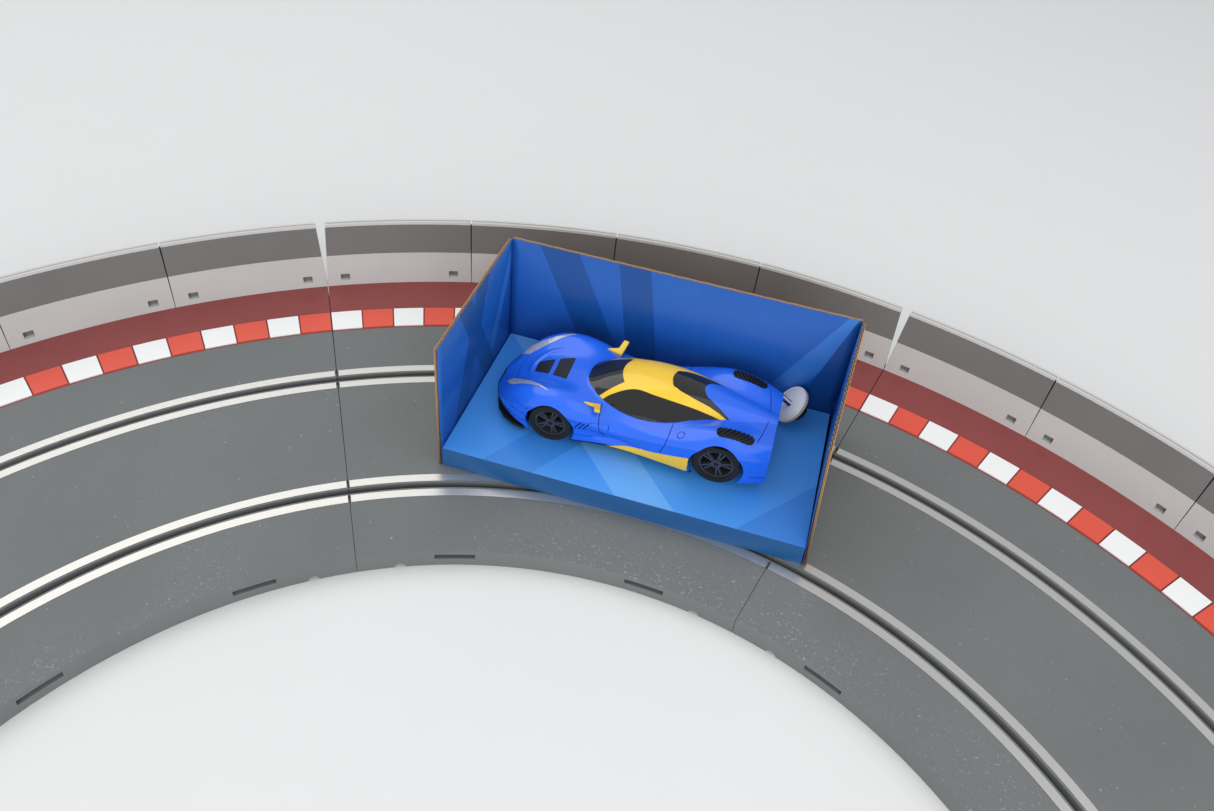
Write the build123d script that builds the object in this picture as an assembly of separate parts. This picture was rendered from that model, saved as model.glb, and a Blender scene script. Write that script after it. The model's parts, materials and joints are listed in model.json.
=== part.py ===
from build123d import *
import os
from math import atan2, cos, degrees, pi, radians, sin, tan

# Slot car track bend with borders, crash barriers and a display tray that holds one car.
# All sizes are in millimetres.  +Z is up and z = 0 is the surface that the track lies on.

# Track sections: three equal curves about one centre, the middle one on the +Y side of it
SECTION_COUNT = 3
SECTION_ANGLE = 45.0
END_RELIEF = 0.03  # degrees that each end face stands back from the joint
R_INNER = 214.5
R_OUTER = 370.5
R_SLOTS = (253.5, 331.5)
TRACK_H = 9.5
PLATE_T = 2.4
SIDE_WALL_T = 2.2
END_WALL_ANGLE = 0.5
RIB_ANGLE = 0.35
BAYS = 3
SLOT_W = 3.0
SLOT_DEPTH = 7.2
CHANNEL_W = 6.2

# Conductor rails, one pair beside each slot
RAIL_OFFSET = 2.5
RAIL_W = 4.2
RAIL_T = 1.2
RAIL_PROUD = 0.1
RAIL_SIDE_GAP = 0.1
RAIL_END_GAP = 0.12  # degrees

# Windows and notches in the side walls of a section
WINDOW_ANGLES = (-11.25, 11.25)
WINDOW_W = 17.6
WINDOW_Z = (4.2, 6.9)
NOTCH_ANGLES = (-17.6, 17.6)
NOTCH_R = 2.4

# Tongues on one end of a section, and the sockets for them in the other end
TONGUE_RADII = (238.0, 292.5, 351.0)
TONGUE_W = 12.0
TONGUE_LENGTH = 7.0
TONGUE_Z = (3.2, 5.8)
SOCKET_GAP = 0.3

# Borders
BORDER_R0 = R_OUTER + 0.15
BORDER_R1 = 416.5
BORDER_PLATE_T = 2.2
BORDER_CAVITIES = ((372.7, 387.0), (389.2, 409.5))
KERB_R = (371.5, 387.1)
KERB_RECESS = 0.5
KERB_PROUD = 0.4
PAD_COUNT = 18
PAD_EDGE_GAP = 0.25
PAD_SIDE_ANGLE = 0.06
HOOK_W = 16.0
HOOK_Z = (4.4, 6.6)
HOOK_REACH = 2.8

# Crash barrier panels, four on each border, leaning outwards
PANELS = 4
PANEL_ANGLE = SECTION_ANGLE / PANELS
PANEL_RELIEF = 0.02
BARRIER_R = 411.9
BARRIER_T = 2.4
BARRIER_TOP = 46.6
BARRIER_LEAN = 5.0
RIM_T = 3.6
RIM_H = 1.8
RIM_GROOVE_W = 1.2
RIM_GROOVE_D = 1.2
FOOT_R1 = 416.2
FOOT_T = 1.6
LUG_ANGLE = 4.2
LUG_W = 6.0
LUG_DEPTH = 5.5
LUG_R = (BARRIER_R + 0.4, BARRIER_R + 2.1)
LUG_GAP = 0.15
CLIP_WINDOW_W = 5.0
CLIP_WINDOW_Z = (12.6, 16.4)
TAPER_SECTION_END = 2.4
TAPER_PANEL_END = 0.25

HALF_SECTION = SECTION_ANGLE / 2
BARRIER_R_MAX = BARRIER_R + BARRIER_LEAN + RIM_T
BEND_Y = -(R_INNER * sin(radians(HALF_SECTION + END_RELIEF)) + BARRIER_R_MAX) / 2

# Display tray of corrugated board, standing on the track
TRAY_X = -60.1
TRAY_Y = 259.4 + BEND_Y
TRAY_Z = TRACK_H + RAIL_PROUD + 0.1
TRAY_TURN = -8.65
TRAY_W = 172.8
TRAY_D = 92.0
TRAY_WALL_H = 70.4
BOARD_T = 1.8
DECK_Z = 10.9
DECK_GAP = 0.3
RIGHT_WALL_LEAN = 5.5
DECK_HOLE_R = 15.0

# Car: x from the nose to the tail, y across, z up from the tyres' contact
CAR_X = 12.5
CAR_Y = 49.0
CAR_TURN = 0.7
WHEEL_CLEARANCE = 0.15
CAR_L = 134.0
FRONT_AXLE_X = 32.0
REAR_AXLE_X = 111.5
FRONT_TYRE_R = 10.4
REAR_TYRE_R = 11.2
FRONT_RIM_R = 7.6
REAR_RIM_R = 8.2
WHEEL_FACE_Y = 26.3
FRONT_TYRE_W = 8.5
REAR_TYRE_W = 9.5
ARCH_GAP = 1.5
AXLE_R = 1.2
BUSH_R = 2.6
BUSH_Y = 14.6
BUSH_W = 2.6
RUNNING_GAP = 0.05
SPOKE_PAIRS = 5

# Body shell sections: x, half width, shoulder height, half width of the top, top height
BODY_STATIONS = (
    (2.0, 16.0, 6.6, 9.0, 9.0),
    (9.0, 22.5, 10.6, 14.0, 13.6),
    (20.0, 26.4, 15.5, 17.0, 18.0),
    (32.0, 27.8, 19.6, 19.0, 23.2),
    (46.0, 27.2, 18.8, 18.5, 22.8),
    (64.0, 26.6, 17.8, 18.5, 23.4),
    (85.0, 27.6, 20.0, 19.0, 25.2),
    (108.0, 28.6, 23.6, 19.0, 26.8),
    (120.0, 28.0, 23.4, 18.0, 26.2),
    (134.0, 24.0, 20.6, 16.0, 24.0),
)
BODY_Z0 = 3.7
SHELL_T = 1.5
# Greenhouse sections: x, half width at the waist, half width of the roof, roof height
CABIN_STATIONS = (
    (47.0, 14.0, 8.0, 22.2),
    (60.0, 17.5, 12.0, 29.2),
    (72.0, 18.0, 12.6, 32.6),
    (85.0, 18.0, 12.0, 33.0),
    (100.0, 17.0, 9.0, 31.0),
    (118.0, 13.0, 4.0, 27.4),
)
CABIN_WAIST_Z = 20.5
GLASS_T = 1.2
ROOF_T = 0.7
ROOF_X = (63.0, 97.0)
ROOF_HALF_W = 11.0

CHASSIS_Z = (3.2, 4.8)
CHASSIS_X = (8.3, 123.5)
CHASSIS_HALF_W = 13.2
SILL_X = (44.5, 98.0)
SILL_HALF_W = 24.0
NOSE_BLOCK_X = 24.0
NOSE_BLOCK_Z = 6.2
GUIDE_X = 16.0
GUIDE_POST_R = 2.0
GUIDE_FLAG_R = 6.0
BLADE_X = (-12.0, 7.0)
BLADE_W = 2.0
BLADE_Z0 = -3.9
SCREW_POINTS = ((27.3, 0.0), (120.6, 5.6), (120.6, -5.6))
SCREW_R = 1.0
SCREW_HEAD_R = 2.1
SCREW_HEAD_H = 1.1
POST_R = 2.5

# Motor leads: points across the chassis, as x and y
LEAD_ROUTE = ((30.6, 6.6), (44.0, 9.4), (64.0, 11.6), (90.4, 11.0))
LEAD_R = 0.5
LEAD_BEND_R = 8.0
LEAD_LIFT = 1.0

# Gears: pinion on the motor shaft, spur gear on the rear axle
MODULE = 0.5
GEAR_TEETH = 36
PINION_TEETH = 12
GEAR_Y = (8.6, 11.4)
PINION_Y = (8.2, 11.8)
ADDENDUM = 0.9
DEDENDUM = 1.25
TOOTH_FILL = 0.8
PRESSURE_ANGLE = 20.0
CENTRE_PLAY = 0.05
SHAFT_DISTANCE = MODULE * (GEAR_TEETH + PINION_TEETH) / 2 + CENTRE_PLAY
MOTOR_X = REAR_AXLE_X - SHAFT_DISTANCE
MOTOR_Z = REAR_TYRE_R
CAN_Y = (-12.5, 5.5)
CAN_W = 15.0
CAN_H = 12.0
CAN_T = 0.6
SHAFT_R = 0.95

# Transit screw: it lies on the deck on the rims of its disc and its knob
SCREW_X = 150.8
SCREW_Y = 81.6
SCREW_HEADING = 195.0
DISC_R = 9.9
BACK_WASHER_R = 9.8
BACK_WASHER_S = (-1.8, -0.9)
KNOB_R = 5.0
KNOB_S = (-7.5, -2.6)
TRANSIT_SHANK_R = 1.5
TRANSIT_SHANK_S = (-6.0, 13.0)
WASHERS = (
    (DISC_R, -0.4, 0.5),
    (9.3, BACK_WASHER_S[1], -0.4),
    (BACK_WASHER_R, *BACK_WASHER_S),
    (4.6, KNOB_S[1], BACK_WASHER_S[0]),
)
SCREW_LIFT = 0.15
FLUTES = 10
FLUTE_R = 0.9
SCREW_TILT = degrees(atan2(BACK_WASHER_R - KNOB_R, BACK_WASHER_S[0] - KNOB_S[0]))

BEND = Pos(0, BEND_Y, 0)
TRAY = Pos(TRAY_X, TRAY_Y, TRAY_Z) * Rot(0, 0, TRAY_TURN)
CAR = TRAY * Pos(CAR_X, CAR_Y, DECK_Z + WHEEL_CLEARANCE) * Rot(0, 0, CAR_TURN)
SCREW_DROP = KNOB_R * cos(radians(SCREW_TILT)) - KNOB_S[0] * sin(radians(SCREW_TILT))
SCREW_HEIGHT = DECK_Z + SCREW_DROP + SCREW_LIFT
TRANSIT_SCREW = (
    TRAY
    * Pos(SCREW_X, SCREW_Y, SCREW_HEIGHT)
    * Rot(0, 0, SCREW_HEADING)
    * Rot(0, -SCREW_TILT, 0)
)


def ring(r0, r1, z0, z1, sweep, mid):
    """Sector of a ring about Z, with its middle at the azimuth mid."""
    section = Plane.XZ * Pos((r0 + r1) / 2, (z0 + z1) / 2) * Rectangle(r1 - r0, z1 - z0)
    return Rot(0, 0, mid - sweep / 2) * revolve(section, Axis.Z, sweep)


def swept_profile(points, sweep, mid):
    """Sector of the solid that an (r, z) outline makes about Z."""
    section = Plane.XZ * Polygon(*points, align=None)
    return Rot(0, 0, mid - sweep / 2) * revolve(section, Axis.Z, sweep)


def radial_box(azimuth, r0, r1, width, z0, z1):
    """Box that stands across a radius."""
    return Rot(0, 0, azimuth) * Pos((r0 + r1) / 2, 0, (z0 + z1) / 2) * Box(r1 - r0, width, z1 - z0)


def span_box(x, y, z):
    """Box from low and high values on each axis."""
    centre = Pos((x[0] + x[1]) / 2, (y[0] + y[1]) / 2, (z[0] + z[1]) / 2)
    return centre * Box(x[1] - x[0], y[1] - y[0], z[1] - z[0])


def rod_y(x, z, radius, y0, y1):
    """Cylinder along Y."""
    return Pos(x, (y0 + y1) / 2, z) * Rot(90, 0, 0) * Cylinder(radius, y1 - y0)


def bays(r0, r1, z0, z1, sweep, mid):
    """Hollows side by side under a plate, with a rib between neighbours."""
    bay = (sweep - (BAYS - 1) * RIB_ANGLE) / BAYS
    first = mid - sweep / 2 + bay / 2
    return [ring(r0, r1, z0, z1, bay, first + i * (bay + RIB_ANGLE)) for i in range(BAYS)]


def section_mid(index):
    """Azimuth of the middle of a section; section 0 is the most anticlockwise."""
    return 90 + SECTION_ANGLE * (1 - index)


def end_box(azimuth, radius, width, t0, t1, z0, z1):
    """Box at an end face, from t0 to t1 along the tangent."""
    return Rot(0, 0, azimuth) * Pos(radius, (t0 + t1) / 2, (z0 + z1) / 2) * Box(width, t1 - t0, z1 - z0)


def track_section(mid):
    sweep = SECTION_ANGLE - 2 * END_RELIEF
    body = ring(R_INNER, R_OUTER, 0, TRACK_H, sweep, mid)
    half = CHANNEL_W / 2
    spans = (
        (R_INNER + SIDE_WALL_T, R_SLOTS[0] - half),
        (R_SLOTS[0] + half, R_SLOTS[1] - half),
        (R_SLOTS[1] + half, R_OUTER - SIDE_WALL_T),
    )
    for r0, r1 in spans:
        body -= bays(r0, r1, -1, TRACK_H - PLATE_T, sweep - 2 * END_WALL_ANGLE, mid)
    for slot in R_SLOTS:
        slot_span = (slot - SLOT_W / 2, slot + SLOT_W / 2)
        body -= ring(*slot_span, TRACK_H - SLOT_DEPTH, TRACK_H + 1, SECTION_ANGLE, mid)
        for r0, r1 in rail_spans(slot, RAIL_SIDE_GAP):
            body -= ring(r0, r1, TRACK_H - RAIL_T, TRACK_H + 1, SECTION_ANGLE, mid)
    for angle in WINDOW_ANGLES:
        for wall in (R_INNER, R_OUTER - SIDE_WALL_T):
            body -= radial_box(mid + angle, wall - 0.5, wall + SIDE_WALL_T + 0.5, WINDOW_W, *WINDOW_Z)
    for angle in NOTCH_ANGLES:
        place = Rot(0, 0, mid + angle) * Pos(R_INNER, 0, 0) * Rot(0, 90, 0)
        body -= place * Cylinder(NOTCH_R, 3 * SIDE_WALL_T)
    tongue_end = mid - sweep / 2
    socket_end = mid + sweep / 2
    socket_z = (TONGUE_Z[0] - SOCKET_GAP, TONGUE_Z[1] + SOCKET_GAP)
    for radius in TONGUE_RADII:
        body -= end_box(socket_end, radius, TONGUE_W + 2 * SOCKET_GAP, -TONGUE_LENGTH - 1, 1, *socket_z)
        body += end_box(tongue_end, radius, TONGUE_W, -TONGUE_LENGTH, 1, *TONGUE_Z)
    return body


def rail_spans(slot, gap=0.0):
    """Radii of the two rails beside a slot."""
    near = RAIL_OFFSET - gap
    far = RAIL_OFFSET + RAIL_W + gap
    return ((slot - far, slot - near), (slot + near, slot + far))


def rails(mid):
    sweep = SECTION_ANGLE - 2 * (END_RELIEF + RAIL_END_GAP)
    spans = [span for slot in R_SLOTS for span in rail_spans(slot)]
    return [ring(r0, r1, TRACK_H - RAIL_T, TRACK_H + RAIL_PROUD, sweep, mid) for r0, r1 in spans]


def border(mid):
    sweep = SECTION_ANGLE - 2 * END_RELIEF
    body = ring(BORDER_R0, BORDER_R1, 0, TRACK_H, sweep, mid)
    for r0, r1 in BORDER_CAVITIES:
        body -= bays(r0, r1, -1, TRACK_H - BORDER_PLATE_T, sweep - 2 * END_WALL_ANGLE, mid)
    body -= ring(*KERB_R, TRACK_H - KERB_RECESS, TRACK_H + 1, SECTION_ANGLE, mid)
    for panel in range(PANELS):
        for angle in lug_angles(mid, panel):
            body -= radial_box(
                angle,
                LUG_R[0] - LUG_GAP,
                LUG_R[1] + LUG_GAP,
                LUG_W + 2 * LUG_GAP,
                TRACK_H - LUG_DEPTH - LUG_GAP,
                TRACK_H + 1,
            )
    for angle in WINDOW_ANGLES:
        body += radial_box(mid + angle, R_OUTER - HOOK_REACH, BORDER_R0 + 0.5, HOOK_W, *HOOK_Z)
    return body


def kerb_pads(first):
    """Every second pad of each border: the white ones start at 0 and the red ones at 1."""
    pitch = SECTION_ANGLE / PAD_COUNT
    pads = []
    for index in range(SECTION_COUNT):
        start = section_mid(index) + HALF_SECTION - pitch / 2
        for place in range(first, PAD_COUNT, 2):
            pads.append(
                ring(
                    KERB_R[0] + PAD_EDGE_GAP,
                    KERB_R[1] - PAD_EDGE_GAP,
                    TRACK_H - KERB_RECESS,
                    TRACK_H + KERB_PROUD,
                    pitch - 2 * PAD_SIDE_ANGLE,
                    start - place * pitch,
                )
            )
    return pads


def panel_mid(mid, panel):
    return mid + PANEL_ANGLE * ((PANELS - 1) / 2 - panel)


def lug_angles(mid, panel):
    return (panel_mid(mid, panel) - LUG_ANGLE, panel_mid(mid, panel) + LUG_ANGLE)


def barrier_outline():
    """Leaning wall with a foot behind it and a grooved rim on top, as (r, z) points."""
    slope = BARRIER_LEAN / (BARRIER_TOP - TRACK_H)
    rim_z = BARRIER_TOP - RIM_H
    rim_r = BARRIER_R + BARRIER_LEAN
    groove = rim_r + (RIM_T - RIM_GROOVE_W) / 2
    back = BARRIER_R + BARRIER_T
    return (
        (BARRIER_R, TRACK_H),
        (rim_r, BARRIER_TOP),
        (groove, BARRIER_TOP),
        (groove, BARRIER_TOP - RIM_GROOVE_D),
        (groove + RIM_GROOVE_W, BARRIER_TOP - RIM_GROOVE_D),
        (groove + RIM_GROOVE_W, BARRIER_TOP),
        (rim_r + RIM_T, BARRIER_TOP),
        (rim_r + RIM_T, rim_z),
        (back + slope * (rim_z - TRACK_H), rim_z),
        (back + slope * FOOT_T, TRACK_H + FOOT_T),
        (FOOT_R1, TRACK_H + FOOT_T),
        (FOOT_R1, TRACK_H),
    )


def taper_cut(azimuth, side, depth):
    """Wedge that trims a panel's end so that the gap there widens upwards."""
    tilt = side * degrees(atan2(depth, BARRIER_TOP - TRACK_H))
    block = Pos(0, side * 10, 20) * Box(30, 20, 60)
    return Rot(0, 0, azimuth) * Pos(BARRIER_R + 4, 0, TRACK_H) * Rot(tilt, 0, 0) * block


def barrier_panel(mid, panel):
    centre = panel_mid(mid, panel)
    sweep = PANEL_ANGLE - 2 * PANEL_RELIEF
    body = swept_profile(barrier_outline(), sweep, centre)
    left_taper = TAPER_SECTION_END if panel == 0 else TAPER_PANEL_END
    right_taper = TAPER_SECTION_END if panel == PANELS - 1 else TAPER_PANEL_END
    body -= taper_cut(centre + sweep / 2, 1, left_taper)
    body -= taper_cut(centre - sweep / 2, -1, right_taper)
    for angle in lug_angles(mid, panel):
        body -= radial_box(angle, BARRIER_R - 1, BARRIER_R + 5, CLIP_WINDOW_W, *CLIP_WINDOW_Z)
        body += radial_box(angle, *LUG_R, LUG_W, TRACK_H - LUG_DEPTH, TRACK_H + 0.8)
    return body


def tray_walls():
    back = span_box((-BOARD_T, TRAY_W + BOARD_T), (TRAY_D, TRAY_D + BOARD_T), (0, TRAY_WALL_H))
    left = span_box((-BOARD_T, 0), (0, TRAY_D + 0.5), (0, TRAY_WALL_H))
    upright = ((TRAY_W, 0), (TRAY_W + BOARD_T, 0), (TRAY_W + BOARD_T, TRAY_WALL_H), (TRAY_W, TRAY_WALL_H))
    leaning = upright[:2] + tuple((x - RIGHT_WALL_LEAN, z) for x, z in upright[2:])
    front_edge = Plane.XZ * Polygon(*leaning, align=None)
    back_edge = Pos(0, TRAY_D + 0.5, 0) * (Plane.XZ * Polygon(*upright, align=None))
    right = loft([front_edge.face(), back_edge.face()], ruled=True)
    return back + left + right


def tray_deck():
    right_edge = TRAY_W - RIGHT_WALL_LEAN * DECK_Z / TRAY_WALL_H - DECK_GAP
    deck = span_box((DECK_GAP, right_edge), (0, TRAY_D - DECK_GAP), (DECK_Z - BOARD_T, DECK_Z))
    deck += span_box((DECK_GAP, right_edge), (0, BOARD_T), (0, DECK_Z))
    deck += span_box((DECK_GAP, right_edge), (TRAY_D - DECK_GAP - BOARD_T, TRAY_D - DECK_GAP), (0, DECK_Z))
    guide = Pos(CAR_X, CAR_Y, 0) * Rot(0, 0, CAR_TURN) * Pos(GUIDE_X, 0, DECK_Z)
    return deck - guide * Cylinder(DECK_HOLE_R, 4 * BOARD_T)


def body_section(x, half_w, shoulder, top_half_w, top, inset, floor):
    """One section across the body, drawn in from the outside by inset."""
    points = (
        (-half_w + inset, floor),
        (-half_w + inset, shoulder - inset),
        (-top_half_w, top - inset),
        (0, top - inset + 0.6),
        (top_half_w, top - inset),
        (half_w - inset, shoulder - inset),
        (half_w - inset, floor),
    )
    return (Pos(x, 0, 0) * (Plane.YZ * Polygon(*points, align=None))).face()


def body_block(inset=0.0, floor=BODY_Z0):
    """Solid body without cabin, from nose to tail."""
    stations = [list(station) for station in BODY_STATIONS]
    stations[0][0] += inset
    stations[-1][0] -= inset
    return loft([body_section(*station, inset, floor) for station in stations], ruled=True)


def cabin_block(inset=0.0):
    """Solid greenhouse; a negative inset makes it larger."""
    faces = []
    for x, half_w, roof_half_w, roof in CABIN_STATIONS:
        points = (
            (-half_w + inset, CABIN_WAIST_Z - 2),
            (-half_w + inset, CABIN_WAIST_Z),
            (-roof_half_w + inset / 2, roof - inset),
            (roof_half_w - inset / 2, roof - inset),
            (half_w - inset, CABIN_WAIST_Z),
            (half_w - inset, CABIN_WAIST_Z - 2),
        )
        faces.append((Pos(x, 0, 0) * (Plane.YZ * Polygon(*points, align=None))).face())
    return loft(faces, ruled=True)


def mirrored(shape):
    """A shape and its mirror image across the car's centre plane."""
    return [shape, mirror(shape, Plane.XZ)]


def panel_regions():
    """Boxes that cut the lamp and vent inserts out of the body's skin."""
    return {
        "headlight_lenses": span_box((8, 25), (15.5, 22), (5, 30)),
        "bonnet_vents": span_box((27, 38), (2.5, 9), (14, 30)),
        "rear_deck_vents": span_box((107, 121), (17, 23), (18, 32)),
        "tail_lights": span_box((131, 136), (11, 20), (17.5, 20)),
    }


def car_skin():
    """Hollow body with wheel arches, cabin opening and tail opening, before the inserts are cut."""
    skin = body_block() - body_block(SHELL_T, BODY_Z0 - 2) - cabin_block()
    for x, radius in ((FRONT_AXLE_X, FRONT_TYRE_R), (REAR_AXLE_X, REAR_TYRE_R)):
        for y0, y1 in ((WHEEL_FACE_Y - 12, 32), (-32, 12 - WHEEL_FACE_Y)):
            skin -= rod_y(x, radius, radius + ARCH_GAP, y0, y1)
    skin -= span_box((130, 136), (-19, 19), (0, 10))
    return skin


def car_body_parts():
    """Body shell with its screw posts, and the inserts that sit in it."""
    skin = car_skin()
    parts = {}
    for name, region in panel_regions().items():
        pair = mirrored(region)
        parts[name] = [skin & block for block in pair]
        for block in pair:
            skin -= block
    inside = body_block(SHELL_T / 2, BODY_Z0 - 2)
    for x, y in SCREW_POINTS:
        post = Pos(x, y, 0) * Cylinder(POST_R, 40, align=(Align.CENTER, Align.CENTER, Align.MIN))
        bore = Pos(x, y, 0) * Cylinder(SCREW_R, 20)
        skin += (post & inside & span_box((0, CAR_L), (-30, 30), (CHASSIS_Z[1] + 0.1, 40))) - bore
    parts["car_body"] = skin
    return parts


def cabin_parts():
    glass = cabin_block() - cabin_block(GLASS_T) - span_box((44, 122), (-13, 13), (0, CABIN_WAIST_Z + 0.2))
    roof = cabin_block(-ROOF_T) - cabin_block()
    roof &= span_box(ROOF_X, (-ROOF_HALF_W, ROOF_HALF_W), (28, 40))
    return {"car_glazing": glass, "car_roof_panel": roof}


def cockpit_tray():
    tub = span_box((52, 89), (-15.5, 15.5), (8, 18.3)) - span_box((53.5, 87.5), (-14, 14), (9.5, 20))
    for y in (-7, 7):
        tub += span_box((68, 80), (y - 4.5, y + 4.5), (9.5, 12.5))
        tub += Pos(80.5, y, 15) * Rot(0, 15, 0) * Box(2.2, 9, 10)
    tub += span_box((53.5, 60), (-14, 14), (9.5, 18))
    wheel = Pos(62, -7, 16.8) * Rot(0, 65, 0) * (Cylinder(3.4, 0.9) - Cylinder(2.5, 2))
    column = Pos(61, -7, 16.4) * Rot(0, 65, 0) * Cylinder(0.6, 4)
    spokes = Pos(62, -7, 16.8) * Rot(0, 65, 0) * Box(0.9, 6, 0.8)
    return tub + wheel + column + spokes


def upright(x, z):
    """Pair of axle carriers that stand on the chassis."""
    carriers = []
    for y in (-BUSH_Y, BUSH_Y):
        block = span_box((x - 3.2, x + 3.2), (y - 1.1, y + 1.1), (CHASSIS_Z[0], z + 3.6))
        carriers.append(block - rod_y(x, z, BUSH_R, y - 2, y + 2))
    return carriers


def chassis():
    base = span_box(CHASSIS_X, (-CHASSIS_HALF_W, CHASSIS_HALF_W), CHASSIS_Z)
    base += span_box(SILL_X, (-SILL_HALF_W, SILL_HALF_W), CHASSIS_Z)
    base += span_box((CHASSIS_X[0], NOSE_BLOCK_X), (-5, 5), (CHASSIS_Z[0], NOSE_BLOCK_Z))
    gap = (GEAR_TEETH / 2 + ADDENDUM) * MODULE + 1
    for x, z in ((FRONT_AXLE_X, FRONT_TYRE_R), (REAR_AXLE_X, REAR_TYRE_R)):
        base += span_box((x - 3.2, x + 3.2), (-BUSH_Y - 1.1, BUSH_Y + 1.1), CHASSIS_Z)
        base += upright(x, z)
    base -= span_box((REAR_AXLE_X - gap, REAR_AXLE_X + gap), (GEAR_Y[0] - 0.8, GEAR_Y[1] + 0.8), (0, 8))
    base -= Pos(GUIDE_X, 0, 5) * Cylinder(GUIDE_POST_R + RUNNING_GAP, 10)
    can_front = MOTOR_X - CAN_W / 2
    for y in (-7, 1):
        base += span_box((can_front - 2.2, can_front - 0.2), (y, y + 2), (4, 9))
    for x, y in SCREW_POINTS:
        base -= Pos(x, y, 4) * Cylinder(SCREW_R + 0.1, 12)
    return base


def front_splitter():
    lip = span_box((-1, 19.5), (-25.5, 25.5), (2.2, BODY_Z0 - 0.1))
    lip -= span_box((8, 21), (-14, 14), (0, 6))
    corner = Pos(-1, 25.5, 3) * Rot(0, 0, 45) * Box(16, 16, 6)
    for cut in mirrored(corner):
        lip -= cut
    return lip


def rear_diffuser():
    floor = span_box((124, 133.8), (-18, 18), (3.4, 4.6))
    floor += span_box((130.4, 133.8), (-18, 18), (4.6, 9.4))
    channels = [span_box((130, 135), (y - 3.2, y + 3.2), (5.4, 8.8)) for y in (-13, -4.5, 4.5, 13)]
    return floor - channels


def side_skirts():
    skirt = span_box((52, 97), (23, 28.7), (4.0, 8.4)) - body_block() - body_block(SHELL_T, 0)
    nose = Pos(52, 28.7, 8.4) * Rot(0, -20, 0) * Box(40, 20, 6)
    return mirrored((skirt - nose).solids().sort_by(SortBy.VOLUME)[-1])


def door_mirrors():
    housing = Pos(52.5, 26.2, 25.2) * Rot(0, 0, 12) * ellipsoid(3.0, 2.6, 1.7)
    stalk = Pos(52, 22.4, 22.8) * Rot(35, 0, 0) * Box(1.8, 6.5, 1.2)
    return mirrored((housing + stalk) - body_block())


def ellipsoid(a, b, c):
    """Ellipsoid by scaling a unit sphere."""
    return scale(Sphere(1), by=(a, b, c))


def bushes():
    rings = []
    for x, z in ((FRONT_AXLE_X, FRONT_TYRE_R), (REAR_AXLE_X, REAR_TYRE_R)):
        for y in (-BUSH_Y, BUSH_Y):
            sleeve = rod_y(x, z, BUSH_R, y - BUSH_W / 2, y + BUSH_W / 2)
            rings.append(sleeve - rod_y(x, z, AXLE_R + RUNNING_GAP, y - 5, y + 5))
    return rings


def axle(x, z):
    return rod_y(x, z, AXLE_R, -WHEEL_FACE_Y + 2.5, WHEEL_FACE_Y - 2.5)


def tyre(x, tyre_r, rim_r, width):
    """Tyre with rounded shoulders on the far side of the car, its outer face at WHEEL_FACE_Y."""
    y = WHEEL_FACE_Y - width / 2
    blank = Cylinder(tyre_r, width)
    blank = fillet(blank.edges().filter_by(GeomType.CIRCLE), 0.9)
    return Pos(x, y, tyre_r) * Rot(90, 0, 0) * (blank - Cylinder(rim_r, width + 1))


def rim(x, tyre_r, rim_r, width):
    """Rim with a hub, twin spokes and a bore that grips the axle."""
    barrel = Cylinder(rim_r, width - 1.4) - Cylinder(rim_r - 0.9, width)
    hub = Cylinder(2.4, width - 1.4)
    face = -(width - 1.4) / 2 + 1.4
    for pair in range(SPOKE_PAIRS):
        for side in (-9, 9):
            turn = Rot(0, 0, pair * 360 / SPOKE_PAIRS + side)
            barrel += turn * Pos((rim_r - 0.4 + 1.8) / 2, 0, face) * Box(rim_r - 0.4 - 1.8, 0.9, 1.6)
    wheel = barrel + hub - Cylinder(AXLE_R, width + 1)
    return Pos(x, WHEEL_FACE_Y - width / 2, tyre_r) * Rot(90, 0, 0) * wheel


def gear_outline(teeth):
    """Points of a spur gear with straight-sided teeth."""
    pitch_r = MODULE * teeth / 2
    root_r = pitch_r - DEDENDUM * MODULE
    tip_r = pitch_r + ADDENDUM * MODULE
    half = TOOTH_FILL * pi * MODULE / 4
    slope = tan(radians(PRESSURE_ANGLE))
    tip_angle = (half - ADDENDUM * MODULE * slope) / tip_r
    root_angle = (half + DEDENDUM * MODULE * slope) / root_r
    corners = ((root_r, -root_angle), (tip_r, -tip_angle), (tip_r, tip_angle), (root_r, root_angle))
    points = []
    for tooth in range(teeth):
        middle = 2 * pi * tooth / teeth
        for radius, angle in corners:
            points.append((radius * cos(middle + angle), radius * sin(middle + angle)))
    return points


def gear(teeth, x, z, y_span, bore_r, phase):
    blank = extrude(Rot(0, 0, phase) * Polygon(*gear_outline(teeth), align=None), y_span[1] - y_span[0])
    blank -= Cylinder(bore_r, 40)
    return Pos(x, y_span[1], z) * Rot(90, 0, 0) * blank


def flat_can(width, height, y0, y1):
    """Motor can: a cylinder with two flats."""
    outline = Circle(width / 2) & Rectangle(width, height)
    return Pos(MOTOR_X, y1, MOTOR_Z) * Rot(90, 0, 0) * extrude(outline, y1 - y0)


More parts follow.
